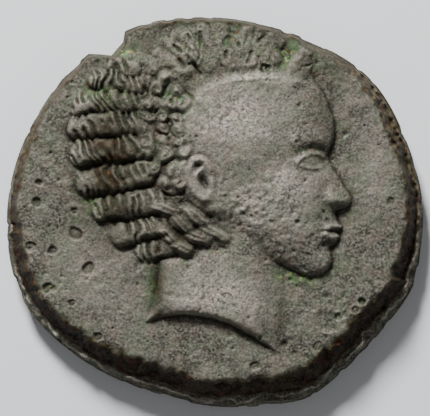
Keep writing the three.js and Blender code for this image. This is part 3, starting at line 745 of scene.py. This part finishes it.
wornEdge = {
    "low": (0.5, 0.8),  # what changes from the top of the coin to its bottom: middle and swing
    "ragged": ((0.5, 1.1, 71), (0.3, 0.35, 72)),  # share, size and seed, on the ledge's width
    # worn line along the ledge: rise and width, place as a share of the ledge, and patches
    "crest": (0.12, 0.06),
    "crestPlace": (0.6, 0.5, 0.5, 78),
    "crestPatches": (0.7, 1.8, 0.6, 74),
    "flakes": (0.1, (0.2, 2.5, 0.45, 73)),
    "grain": (0.3, 0.2, 0.2, 75),  # rise, less of it when low, size and seed
    # dark band over the slope: start as a share of the ledge, and its fade
    "bandStart": (0.85, 0.12),
    "bandReach": (1.05, 0.08),  # its reach as a share of the slope and in mm
    "bandRagged": (0.2, 0.4, 76),
    "bandFade": (0.16, 0.2),  # fade into the field, and more of it when low
    "bareCrest": 0.72,  # share of the band that is rubbed off the crest
    # small nicks in the outline: depth, share that stands proud between them, patches
    "nicks": (0.08, 0.25, (0.0, 2.4, 0.45, 58)),
    "nickWall": (1.6, 0.4, 2.0),  # how they fade down the wall, and how far they run in it
    "wall": (0.05, 0.06, 9.0),  # depth of its bumps at this roughness, and mm of noise up it
}


# share that grows towards the bottom of the coin, or towards its top where the swing is negative
def lowness(degrees, middle, swing):
    return ease(middle - swing * np.sin(np.radians(degrees)))


# worn ledge and slope up to the field: level, shares on the band and on the crest, and lowness
def edgeLevel(x, y, inset, degrees):
    w = wornEdge
    (wide, wideSize, wideSeed), (close, closeSize, closeSeed) = w["ragged"]
    ragged = 1 + wide * uneven(x, y, wideSize, wideSeed) + close * uneven(x, y, closeSize, closeSeed)
    ledge, slope = around(flan["ledge"], degrees) * ragged, around(flan["slope"], degrees)
    low = lowness(degrees, *w["low"])
    onLedge = flan["belly"] + inset * (flan["ledgeLevel"] - flan["belly"]) / ledge
    onSlope = flan["ledgeLevel"] + (inset - ledge) * (flan["field"] - flan["ledgeLevel"]) / slope

    rise, width = w["crest"]
    share, swing, size, seed = w["crestPlace"]
    line = ledge * (share + swing * uneven(x, y, size, seed))
    onCrest = np.exp(-(((inset - line) / width) ** 2)) * patchy(x, y, *w["crestPatches"])
    flake, patches = w["flakes"]
    grain, lessGrain, size, seed = w["grain"]
    rough = flake * patchy(x, y, *patches) + (grain - lessGrain * low) * uneven(x, y, size, seed)
    level = (blendHighest(onLedge, onSlope, flan["ledgeBlend"])
             + (rise * onCrest + rough) * ease(inset / flan["rimFade"]))

    start, startFade = w["bandStart"]
    share, further = w["bandReach"]
    swing, size, seed = w["bandRagged"]
    fade, lowFade = w["bandFade"]
    into = ledge + share * slope + further + swing * uneven(x, y, size, seed) - inset
    onBand = ease((inset - start * ledge * low) / startFade) * ease(into / (fade + lowFade * low))
    return level, onBand * (1 - w["bareCrest"] * onCrest), onCrest, low


# Making the coin

def deselectAll():
    if bpy.context.object and bpy.context.object.mode != "OBJECT":
        bpy.ops.object.mode_set(mode="OBJECT")
    bpy.ops.object.select_all(action="DESELECT")


def vertexPlaces(mesh):
    places = np.zeros(len(mesh.vertices) * 3, np.float32)
    mesh.vertices.foreach_get("co", places)
    return places.reshape(-1, 3).astype(float)


# puts the faces in one fixed order, because extrude's own order changes from run to run
def sortFaces(mesh):
    corners = np.zeros(len(mesh.loops), int)
    mesh.loops.foreach_get("vertex_index", corners)
    quads = corners.reshape(-1, 4)
    turned = (quads.argmin(1)[:, None] + np.arange(4)) % 4
    quads = np.take_along_axis(quads, turned, axis=1)
    quads = quads[np.lexsort(quads.T[::-1])]
    places = vertexPlaces(mesh)
    mesh.clear_geometry()
    mesh.from_pydata(places, [], quads)
    mesh.update()


# a slab of square nets with a ringed wall between them, two units wide and one high
def makeBlank():
    deselectAll()
    cells, rings = flan["netCells"], flan["wallRings"]
    bpy.ops.mesh.primitive_grid_add(x_subdivisions=cells, y_subdivisions=cells, size=2)
    blank = bpy.context.object
    blank.name = "struckCoin"
    bpy.ops.object.mode_set(mode="EDIT")
    bpy.ops.mesh.select_all(action="SELECT")
    for _ in range(rings):
        bpy.ops.mesh.extrude_region_move(TRANSFORM_OT_translate={"value": (0, 0, 1 / rings)})
    bpy.ops.mesh.select_all(action="SELECT")
    bpy.ops.mesh.normals_make_consistent(inside=False)
    bpy.ops.object.mode_set(mode="OBJECT")
    sortFaces(blank.data)
    return blank


# mean over a square of cells, twice, which is close to a soft blur
def blurNet(net, reach):
    for _ in range(2):
        for axis in (0, 1):
            widths = [(reach + 1, reach) if a == axis else (0, 0) for a in (0, 1)]
            padded = np.pad(net, widths, mode="edge")
            total = np.cumsum(padded, axis=axis)
            ahead = np.take(total, np.arange(2 * reach + 1, total.shape[axis]), axis=axis)
            behind = np.take(total, np.arange(0, total.shape[axis] - 2 * reach - 1), axis=axis)
            net = (ahead - behind) / (2 * reach + 1)
    return net


# how far each point of a square net stands over the mean round it
def overSurroundings(s, t, values, reach):
    cells = flan["netCells"]
    column = np.rint((s + 1) / 2 * cells).astype(int)
    row = np.rint((t + 1) / 2 * cells).astype(int)
    net = np.zeros((cells + 1, cells + 1))
    net[row, column] = values
    steps = max(1, round(reach / (flan["size"][0] / cells)))
    return values - blurNet(net, steps)[row, column]


# the flan's own radius with its small nicks, which fade down the wall
def nickedRadius(degrees, headingX, headingY, level):
    depth, proud, patches = wornEdge["nicks"]
    rise, drop, run = wornEdge["nickWall"]
    radius = rawRadius(degrees)
    nicked = patchy(radius * headingX, radius * headingY + run * level, *patches)
    return radius + depth * (proud - nicked) * ease(rise * level - drop)


# what the patina is laid by, as values on the mesh: heights in mm, and shares from 0 to 1
shading = {
    "reaches": {"fine": 0.16, "broad": 0.55},  # how far round a point its surroundings go
    "sheltered": (0.2, 0.03, 0.1),  # verdigris starts here, over fine and broad heights at this scale
    "brightCrest": 0.07,
    "darkHair": (0.2, 0.7, 0.35),  # how far out it starts, its fade, and its least share
    "darkRim": (0.8, 0.45, 0.2, (0.5, -0.7)),  # share, width, fade, and where it lies round the coin
    "band": (0.3, (0.8, 0.8)),  # least share, and where the rest lies round the coin
    "wall": 0.32,
}


# levels of the obverse, and the values for its patina
def strikeObverse(x, y, s, t, inset, degrees):
    relief, hairBy = obverseRelief(x, y)
    leastRub, moreRub, rubHeight, rubReach = wear["rub"]
    rubbing = leastRub + moreRub * ease(relief / rubHeight)
    relief = np.maximum(relief - rubbing * overSurroundings(s, t, relief, rubReach), 0)
    crust = placesIn(x, y, wear["crust"])
    struck = flan["field"] + relief + roughness(x, y, "obverse", crust) - pitRelief(x, y)
    edgeZ, onBand, onCrest, low = edgeLevel(x, y, inset, degrees)
    rounding, lowRounding = flan["shoulder"]
    z = blendLowest(edgeZ + roughness(x, y, "edge"), struck, rounding + lowRounding * low)
    rimFade = ease(inset / flan["rimFade"])
    z = z * rimFade + flan["belly"] * (1 - rimFade)

    values = {name: overSurroundings(s, t, struck, reach) for name, reach in shading["reaches"].items()}
    # dark crust of the edge band, with painted shade that darkens it everywhere but at the top of the
    # coin, most at the bottom
    leastBand, place = shading["band"]
    values["edgeCrustAndShade"] = onBand * (leastBand + (1 - leastBand) * lowness(degrees, *place))
    values["rubbed"] = np.maximum(placesIn(x, y, wear["rubbed"]), onCrest)
    share, width, fade, place = shading["darkRim"]
    onRim = share * ease((width - inset) / fade) * lowness(degrees, *place)
    darkPatinaAndShade = np.maximum(placesIn(x, y, wear["darkPatinaAndShade"]), onRim)
    before, fade, least = shading["darkHair"]
    values["darkPatinaAndShade"] = np.maximum(ease((hairBy + before) / fade) * (least + (1 - least) * darkPatinaAndShade), darkPatinaAndShade)
    start, fineScale, broadScale = shading["sheltered"]
    sunk = np.minimum(values["fine"] / fineScale, values["broad"] / broadScale)
    values["verdigris"] = placesIn(x, y, wear["verdigris"]) * ease(start - sunk)
    values["fine"] = values["fine"] + shading["brightCrest"] * onCrest
    return z, values


# levels of the reverse, which lies flat on its rim and on the elephant's flank
def strikeReverse(x, y, inset):
    z = flan["reverseDepth"] - reverseRelief(x, y, inset)
    return np.maximum(z + roughness(x, y, "reverse") * ease(z / flan["flatRest"]), 0)


# moves every vertex of the blank to the outline, the edge and the two struck faces
def strike(blank):
    mesh = blank.data
    s, t, level = vertexPlaces(mesh).T
    top, under = level > 0.999, level < 0.001
    wall = ~top & ~under
    # square to disc, then out to the flan's own radius
    discX, discY = s * np.sqrt(1 - t * t / 2), t * np.sqrt(1 - s * s / 2)
    degrees = np.degrees(np.arctan2(discY, discX)) % 360
    headingX, headingY = np.cos(np.radians(degrees)), np.sin(np.radians(degrees))
    radius = nickedRadius(degrees, headingX, headingY, level)
    arc = np.radians(90 * level)
    foot = flan["foot"] * (1 - np.sin(arc))
    reach = np.hypot(discX, discY) * np.where(top, radius, radius - foot)
    depth, atRoughness, noiseUp = wornEdge["wall"]
    bumps = roughness(reach * headingX, noiseUp * level + reach * headingY, "wall")
    reach = reach - depth * np.where(wall, np.abs(bumps) / atRoughness, 0)
    inset = radius - reach
    x = (reach * headingX - fitMiddle[0]) * fitScale[0]
    y = (reach * headingY - fitMiddle[1]) * fitScale[1]
    z = flan["belly"] * (1 - np.cos(arc))
    z[top], values = strikeObverse(x[top], y[top], s[top], t[top], inset[top], degrees[top])
    z[under] = strikeReverse(x[under], y[under], inset[under])

    places = np.stack([x, y, z], 1) * mm
    mesh.vertices.foreach_set("co", places.astype(np.float32).ravel())
    mesh.update()
    for name, onTop in values.items():
        stored = np.zeros(len(z))
        stored[top] = onTop
        if name in shading["reaches"]:
            stored[under] = -overSurroundings(s[under], t[under], z[under], shading["reaches"][name])
        if name == "edgeCrustAndShade":
            stored[wall] = shading["wall"]
        layer = mesh.attributes.new(name, "FLOAT", "POINT")
        layer.data.foreach_set("value", stored.astype(np.float32))


# fewer triangles where the surface is flat
def thin(coin):
    now = sum(len(p.vertices) - 2 for p in coin.data.polygons)
    if now <= flan["triangles"]:
        return
    deselectAll()
    coin.select_set(True)
    bpy.context.view_layer.objects.active = coin
    modifier = coin.modifiers.new("thin", "DECIMATE")
    modifier.ratio = flan["triangles"] / now
    bpy.ops.object.modifier_apply(modifier="thin")


coin = makeBlank()
print("blank made,", len(coin.data.vertices), "vertices")
strike(coin)
print("struck")
thin(coin)
print("thinned to", sum(len(p.vertices) - 2 for p in coin.data.polygons), "triangles")
bpy.context.view_layer.objects.active = coin
coin.select_set(True)
bpy.ops.object.shade_smooth()


# Materials

# hex colour to linear
def srgb(code):
    parts = [int(code[i:i + 2], 16) / 255 for i in (1, 3, 5)]
    return tuple(c / 12.92 if c <= 0.04045 else ((c + 0.055) / 1.055) ** 2.4 for c in parts) + (1.0,)


# adds a node; a value in inputs is a number or colour, or a socket to link from
def addNode(material, kind, inputs=None, **settings):
    tree = material.node_tree
    node = tree.nodes.new(kind)
    for name, value in settings.items():
        setattr(node, name, value)
    for name, value in (inputs or {}).items():
        socket = node.inputs[name]
        if isinstance(value, bpy.types.NodeSocket):
            tree.links.new(value, socket)
        else:
            socket.default_value = value
    return node


def newMaterial(name):
    material = bpy.data.materials.new(name)
    material.use_nodes = True
    material.node_tree.nodes.clear()
    return material


# Tin bronze, struck, then long in the ground: a thin hard grey-green patina that is matt,
# brown to black in the hollows and rubbed to a warm light grey on the high parts. The edge
# band is dark crust, with painted shade that turns it near black on the sides and bottom.
# Each layer covers those below it by its noise (size in mm, detail, ramp from, to, share at
# each end) times its mask (attribute of the mesh, ramp from, to, share at each end).
patina = {
    "base": "#23211a",
    "layers": [
        ("#5a5850", (0.9, 4.0, 0.3, 0.7, 0.0, 0.5), None),
        ("#6a6860", (0.11, 3.0, 0.4, 0.62, 0.0, 0.72), None),
        ("#999389", (0.1, 2.0, 0.34, 0.6, 0.3, 1.0), ("rubbed", 0.05, 0.9, 0.0, 1.0)),
        ("#8f897e", (0.14, 3.0, 0.36, 0.62, 0.1, 0.9), ("broad", 0.08, 0.36, 0.0, 0.4)),
        ("#8c877b", (0.2, 2.0, 0.3, 0.5, 0.5, 1.0), ("fine", 0.012, 0.07, 0.0, 0.55)),
        ("#2b2a24", (0.17, 2.0, 0.5, 0.62, 0.0, 0.85), ("rubbed", 0.1, 0.9, 0.0, 1.0)),
        ("#776a5f", (0.8, 3.0, 0.48, 0.62, 0.0, 0.24), None),
        ("#5c6653", (1.1, 3.0, 0.48, 0.62, 0.0, 0.26), None),
        ("#26241a", (0.35, 4.0, 0.36, 0.62, 0.8, 1.0), ("darkPatinaAndShade", 0.0, 1.0, 0.0, 1.0)),
        ("#332414", (0.5, 3.0, 0.48, 0.62, 0.0, 0.8), ("darkPatinaAndShade", 0.65, 1.0, 0.0, 1.0)),
        ("#45563a", (0.45, 3.0, 0.55, 0.66, 0.0, 1.0), ("broad", 0.04, -0.1, 0.03, 0.4)),
        ("#3f5a38", (0.3, 4.0, 0.42, 0.58, 0.0, 1.0), ("verdigris", 0.0, 0.8, 0.0, 0.9)),
        ("#8a8850", (0.16, 3.0, 0.54, 0.62, 0.0, 1.0), ("verdigris", 0.3, 1.0, 0.0, 0.8)),
        ("#5a3a26", (0.3, 2.0, 0.64, 0.7, 0.0, 0.8), ("fine", 0.0, -0.05, 0.1, 1.0)),
        ("#272012", (0.3, 3.0, 0.35, 0.62, 1.0, 0.8), ("edgeCrustAndShade", 0.0, 0.5, 0.0, 1.0)),
        ("#5f5a42", (0.24, 4.0, 0.45, 0.7, 0.0, 0.75), ("edgeCrustAndShade", 0.1, 0.5, 0.0, 1.0)),
        # painted shade: near black where the edge band is strongest, on the sides and at the bottom of the
        # coin
        ("#090604", (0.6, 3.0, 0.35, 0.6, 1.0, 0.7), ("edgeCrustAndShade", 0.6, 1.0, 0.0, 1.0)),
        ("#4a3a2a", (0.12, 3.0, 0.52, 0.64, 0.0, 0.6), ("edgeCrustAndShade", 0.1, 0.8, 0.0, 1.0)),
        ("#3a1a10", (0.5, 2.0, 0.56, 0.64, 0.0, 0.6), ("edgeCrustAndShade", 0.1, 0.8, 0.0, 1.0)),
        ("#16140d", (0.3, 2.0, 0.3, 0.5, 0.7, 1.0), ("broad", -0.05, -0.3, 0.0, 0.48)),
        ("#16140d", (0.2, 2.0, 0.3, 0.5, 0.7, 1.0), ("fine", -0.012, -0.06, 0.0, 0.68)),
    ],
    "shift": 0.01,  # metres between the noises of two layers
    "grain": (0.1, 4.0),  # size in mm and detail
    "bump": (0.9, 0.035),  # strength, and height in mm
    "roughness": (0.3, 0.7, 0.45, 0.65),  # from and to on the grain, roughness at each end
    "metallic": (0.6, 0.2, 0.0),  # edge band's share that is all crust, on the faces, on the crust
    "specular": 0.06,
}


def patinatedBronze(p):
    m = newMaterial("patinatedBronze")
    coords = addNode(m, "ShaderNodeTexCoord").outputs["Object"]
    colour = srgb(p["base"])
    for i, (code, (size, detail, low, high, least, most), mask) in enumerate(p["layers"]):
        place = addNode(m, "ShaderNodeMapping", {"Vector": coords, "Location": (p["shift"] * i,) * 3})
        noise = addNode(m, "ShaderNodeTexNoise", {
            "Vector": place.outputs["Vector"], "Scale": 1 / (size * mm), "Detail": detail})
        share = addNode(m, "ShaderNodeMapRange", {
            "Value": noise.outputs["Fac"], "From Min": low, "From Max": high,
            "To Min": least, "To Max": most}).outputs["Result"]
        if mask:
            name, low, high, least, most = mask
            masked = addNode(m, "ShaderNodeAttribute", attribute_name=name)
            ramp = addNode(m, "ShaderNodeMapRange", {
                "Value": masked.outputs["Fac"], "From Min": low, "From Max": high,
                "To Min": least, "To Max": most})
            share = addNode(m, "ShaderNodeMath", {0: share, 1: ramp.outputs["Result"]},
                            operation="MULTIPLY").outputs["Value"]
        # sockets 6 and 7 are the two colours, 2 the mixed one
        colour = addNode(m, "ShaderNodeMix", {"Factor": share, 6: colour, 7: srgb(code)},
                         data_type="RGBA").outputs[2]
    size, detail = p["grain"]
    grain = addNode(m, "ShaderNodeTexNoise", {
        "Vector": coords, "Scale": 1 / (size * mm), "Detail": detail})
    strength, distance = p["bump"]
    bump = addNode(m, "ShaderNodeBump", {
        "Height": grain.outputs["Fac"], "Strength": strength, "Distance": distance * mm})
    low, high, least, most = p["roughness"]
    rough = addNode(m, "ShaderNodeMapRange", {
        "Value": grain.outputs["Fac"], "From Min": low, "From Max": high,
        "To Min": least, "To Max": most})
    band = addNode(m, "ShaderNodeAttribute", attribute_name="edgeCrustAndShade")
    allCrust, onFace, onCrust = p["metallic"]
    metallic = addNode(m, "ShaderNodeMapRange", {
        "Value": band.outputs["Fac"], "From Max": allCrust, "To Min": onFace, "To Max": onCrust})
    shader = addNode(m, "ShaderNodeBsdfPrincipled", {
        "Base Color": colour, "Metallic": metallic.outputs["Result"],
        "Roughness": rough.outputs["Result"], "Specular IOR Level": p["specular"],
        "Normal": bump.outputs["Normal"]})
    addNode(m, "ShaderNodeOutputMaterial", {"Surface": shader.outputs["BSDF"]})
    return m


coin.data.materials.append(patinatedBronze(patina))
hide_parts("coin")
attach(coin, "root")
print("coin finished")


# Studio: a pale floor, a soft key from above the head and a weak fill

studio = {
    "floor": ("#c9cbce", 0.8, 2.0),  # colour, roughness, metres across
    "world": ("#ffffff", 0.17),
    # name, place, size, watts
    "lights": [("key", (-0.055, 0.17, 0.13), 0.05, 1.55), ("fill", (0.1, -0.15, 0.25), 0.2, 0.12)],
}


def makeStudio(s):
    deselectAll()
    code, rough, across = s["floor"]
    bpy.ops.mesh.primitive_plane_add(size=across)
    floor = bpy.context.object
    floor.name = "floor"
    material = newMaterial("paleFloor")
    shader = addNode(material, "ShaderNodeBsdfPrincipled", {
        "Base Color": srgb(code), "Roughness": rough})
    addNode(material, "ShaderNodeOutputMaterial", {"Surface": shader.outputs["BSDF"]})
    floor.data.materials.append(material)
    world = bpy.data.worlds.new("studio")
    world.use_nodes = True
    background = world.node_tree.nodes["Background"]
    background.inputs["Color"].default_value = srgb(s["world"][0])
    background.inputs["Strength"].default_value = s["world"][1]
    bpy.context.scene.world = world
    for name, place, size, watts in s["lights"]:
        light = bpy.data.lights.new(name, "AREA")
        light.size = size
        light.energy = watts
        lamp = bpy.data.objects.new(name, light)
        lamp.location = place
        lamp.rotation_euler = (-Vector(place)).to_track_quat("-Z", "Y").to_euler()
        bpy.context.scene.collection.objects.link(lamp)


makeStudio(studio)
print("studio lit")
